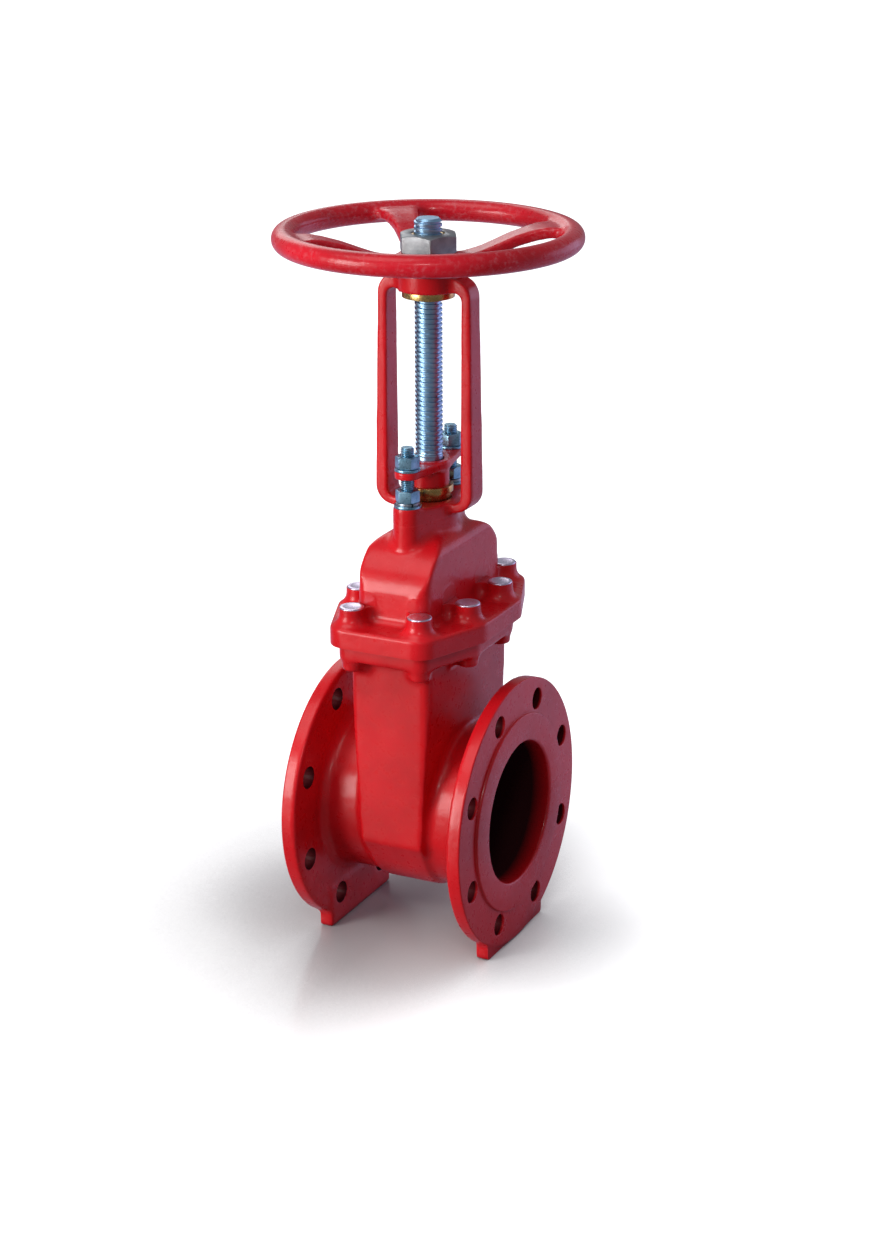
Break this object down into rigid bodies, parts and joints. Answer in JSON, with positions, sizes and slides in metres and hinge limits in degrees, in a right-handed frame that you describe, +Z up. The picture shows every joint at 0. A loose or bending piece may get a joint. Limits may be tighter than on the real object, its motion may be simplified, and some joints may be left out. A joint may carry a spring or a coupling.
{
  "type": "gate valve",
  "caption": "Flanged gate valve, outside screw and yoke: a handwheel turns a captive brass nut that lifts the stem and a rubber-lined wedge clear of the flow bore.",
  "frame": {"origin": "on the floor between the feet, straight below the stem axis; the flow bore is 144 mm above it", "axes": "+X along the flow, +Y across it, +Z up the stem; drawn closed"},
  "size_m": [0.311, 0.311, 0.761],
  "materials": {
    "red_epoxy": "gloss fire-red epoxy over cast iron",
    "red_epoxy_wheel": "gloss fire-red epoxy over cast iron",
    "nbr_rubber": "matt moulded rubber",
    "epdm_rubber": "satin moulded rubber",
    "packing": "braided graphite packing",
    "zinc_steel": "bright bluish zinc plate",
    "spring_steel": "dull zinc plate",
    "cap_metal": "bright plated discs",
    "brass": "turned brass",
    "stem_steel": "rolled stainless steel",
    "key_steel": "drawn steel",
    "grey_iron": "grey cast nut, oiled",
    "bare_iron": "cast iron under the rubber",
    "nylon": "wear-resistant plastic"
  },
  "bodies": {
    "casing": {"body": "red_epoxy", "bonnet": "red_epoxy", "bonnet_gasket": "nbr_rubber", "bonnet_screws": "zinc_steel", "screw_caps": "cap_metal", "yoke": "red_epoxy", "gland_studs": "zinc_steel", "yoke_washers": "zinc_steel", "yoke_lock_washers": "spring_steel", "yoke_nuts": "zinc_steel", "backseat_bush": "brass", "packing_rings": "packing", "gland_bush": "brass", "gland_flange": "red_epoxy", "gland_washers": "zinc_steel", "gland_nuts": "zinc_steel", "thrust_washer_lower": "nylon", "thrust_washer_upper": "nylon", "retaining_ring": "brass"},
    "drive": {"handwheel": "red_epoxy_wheel", "handwheel_key": "key_steel", "handwheel_nut": "grey_iron", "stem_nut": "brass"},
    "closure": {"stem": "stem_steel", "wedge_nut": "brass", "wedge_pin": "stem_steel", "wedge_core": "bare_iron", "wedge_rubber": "epdm_rubber", "guide_shoes": "nylon"}
  },
  "joints": [
    {"name": "handwheel_spin", "type": "hinge", "parent": "casing", "child": "drive", "pos_m": [0, 0, 0.7], "axis": [0, 0, 1], "range_deg": [0, 11160]},
    {"name": "stem_lift", "type": "slide", "parent": "casing", "child": "closure", "axis": [0, 0, 1], "range_m": [0, 0.155]}
  ],
  "couplings": [
    {"joint": "stem_lift", "follows": "handwheel_spin", "m_per_rad": 0.00079577}
  ]
}
